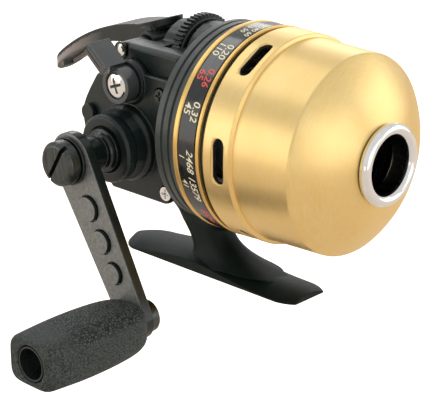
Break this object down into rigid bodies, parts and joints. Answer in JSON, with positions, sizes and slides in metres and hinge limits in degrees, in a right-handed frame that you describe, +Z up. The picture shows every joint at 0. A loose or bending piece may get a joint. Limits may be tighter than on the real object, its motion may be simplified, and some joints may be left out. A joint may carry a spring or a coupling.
{
  "type": "spincast reel",
  "caption": "Closed-face fishing reel: gold cone with a line guide ring, black gear body, side crank with a rubber knob, thumb lever, drag wheel and rod foot.",
  "frame": {"origin": "centre of the flat underside of the reel foot", "axes": "+X forward along the spool axis towards the line guide ring, +Y to the side away from the crank, +Z up from the foot to the spool"},
  "size_m": [0.1297, 0.1105, 0.0858],
  "materials": {
    "black_body": "satin black paint with a faint green cast",
    "gold_shell": "brushed gold anodised aluminium, fine lines round the axis",
    "chrome": "polished",
    "label_black": "glossy printed ring",
    "steel": "satin",
    "arm_grey": "dark nickel, satin",
    "rubber": "grained",
    "dark_plastic": "moulded",
    "brass": "machined",
    "bronze": "sintered bronze",
    "line": "clear green nylon line",
    "felt": "pressed felt"
  },
  "bodies": {
    "frame": {"front_frame": "black_body", "gear_housing": "black_body", "side_plate": "black_body", "side_screw_upper": "steel", "side_screw_lower": "chrome", "frame_screw_right": "steel", "frame_screw_left": "steel", "pivot_cap": "black_body", "reel_foot": "black_body", "foot_screw_front": "steel", "foot_screw_rear": "steel", "pinion_bearing": "bronze", "crank_bushing": "bronze", "crank_end_cap": "black_body", "trim_ring_rear": "gold_shell", "label_ring": "label_black", "trim_ring_front": "gold_shell", "spool_clip": "steel", "drag_washer": "felt", "lever_pin": "chrome"},
    "handle": {"crank_shaft": "steel", "crank_collar": "black_body", "drive_gear": "brass", "ratchet_wheel": "steel", "crank_arm": "arm_grey", "arm_plug_1": "arm_grey", "arm_plug_2": "arm_grey", "arm_plug_3": "arm_grey", "handle_washer": "black_body", "handle_screw": "steel", "knob_post": "steel", "knob_clip": "steel"},
    "knob": {"knob_grip": "rubber", "knob_core": "dark_plastic"},
    "pinion": {"pinion_gear": "brass", "shaft_spring": "steel"},
    "shaft": {"centre_shaft": "steel", "spinner_head": "steel", "spinner_nut": "brass"},
    "pickup": {"pickup_pin": "chrome"},
    "lever": {"thumb_lever": "black_body"},
    "selector": {"selector_lever": "black_body", "selector_cap": "chrome", "anti_reverse_pawl": "steel"},
    "drag": {"drag_wheel": "black_body", "drag_screw": "brass"},
    "plunger": {"drag_plunger": "brass"},
    "spool": {"spool": "steel", "fishing_line": "line"},
    "nose": {"nose_cone": "gold_shell", "guide_ring": "chrome"}
  },
  "joints": [
    {"name": "handle_turn", "type": "hinge", "parent": "frame", "child": "handle", "pos_m": [-0.0164, 0, 0.04033], "axis": [0, 1, 0], "continuous": true},
    {"name": "knob_spin", "type": "hinge", "parent": "handle", "child": "knob", "pos_m": [0.0075, -0.06, -0.00124], "axis": [0, 1, 0], "continuous": true},
    {"name": "pinion_turn", "type": "hinge", "parent": "frame", "child": "pinion", "pos_m": [0.0216, 0, 0.0465], "axis": [1, 0, 0], "continuous": true},
    {"name": "shaft_push", "type": "slide", "parent": "pinion", "child": "shaft", "axis": [1, 0, 0], "range_m": [0, 0.0047], "deforming": ["shaft_spring"]},
    {"name": "pickup_retract", "type": "slide", "parent": "shaft", "child": "pickup", "axis": [0, 0, -1], "range_m": [0, 0.002]},
    {"name": "thumb_press", "type": "hinge", "parent": "frame", "child": "lever", "pos_m": [-0.0214, 0, 0.0663], "axis": [0, -1, 0], "range_deg": [0, 12], "stiffness_Nm_per_rad": 0.6, "springref_deg": -8.59},
    {"name": "selector_turn", "type": "hinge", "parent": "frame", "child": "selector", "pos_m": [-0.0157, -0.025, 0.0583], "axis": [0, -1, 0], "range_deg": [0, 35]},
    {"name": "drag_turn", "type": "hinge", "parent": "frame", "child": "drag", "pos_m": [-0.0068, 0, 0.0637], "axis": [1, 0, 0], "range_deg": [0, 300]},
    {"name": "drag_press", "type": "slide", "parent": "frame", "child": "plunger", "axis": [1, 0, 0], "range_m": [0, 0.0008]},
    {"name": "spool_slip", "type": "hinge", "parent": "frame", "child": "spool", "pos_m": [0.0216, 0, 0.0465], "axis": [1, 0, 0], "continuous": true},
    {"name": "nose_off", "type": "slide", "parent": "frame", "child": "nose", "axis": [1, 0, 0], "range_m": [0, 0.06]}
  ],
  "couplings": [
    {"joint": "pinion_turn", "follows": "handle_turn", "ratio": 4.1},
    {"joint": "shaft_push", "follows": "thumb_press", "m_per_rad": 0.0222},
    {"joint": "pickup_retract", "follows": "thumb_press", "m_per_rad": 0.0095},
    {"joint": "drag_press", "follows": "drag_turn", "m_per_rad": 0.000152}
  ]
}
